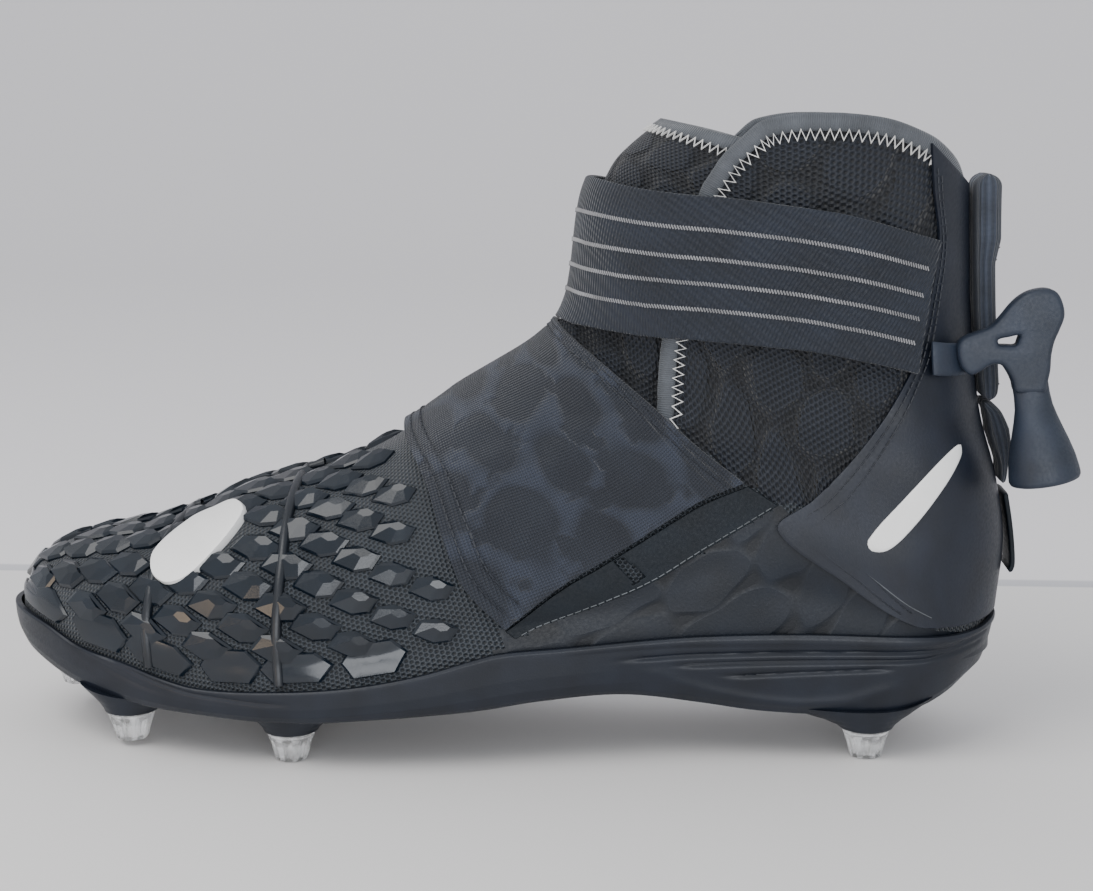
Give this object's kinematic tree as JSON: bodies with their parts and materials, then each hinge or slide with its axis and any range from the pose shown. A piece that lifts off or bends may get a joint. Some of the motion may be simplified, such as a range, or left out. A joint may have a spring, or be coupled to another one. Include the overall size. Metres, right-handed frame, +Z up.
{
  "type": "american football cleat",
  "caption": "Left high-top american football cleat in black with screw-in studs, a woven midfoot strap, an elastic ankle strap and a moulded rubber heel pull.",
  "frame": {"origin": "centre of the bounding box in plan, on the floor that the ball and heel studs stand on", "axes": "+Z up, the toe points to -X, the lateral side is -Y and the medial side +Y"},
  "size_m": [0.3242, 0.0988, 0.188],
  "materials": {
    "plate": "satin moulded black",
    "stud": "clear moulded, fluted",
    "mesh": "dark open mesh",
    "strap": "woven",
    "leather": "smooth synthetic, semi-matt",
    "rubber": "matt",
    "insole": "knitted top cloth over foam",
    "scale": "glossy moulded facets",
    "binding": "grey tape",
    "thread": "light sewing thread",
    "mark": "white film"
  },
  "bodies": {
    "root": {"outsole_plate": "plate", "insole": "insole", "upper": "mesh", "tongue": "mesh", "heel_counter": "leather", "midfoot_strap": "strap", "strap_base_lateral": "leather", "strap_base_medial": "leather", "ankle_strap": "strap", "heel_webbing": "strap", "heel_loop": "strap", "heel_flap": "leather", "rubber_pull": "rubber", "stud_toe": "stud", "stud_front_lateral": "stud", "stud_front_medial": "stud", "stud_ball_lateral": "stud", "stud_ball_medial": "stud", "stud_heel_lateral": "stud", "stud_heel_medial": "stud"}
  },
  "joints": []
}
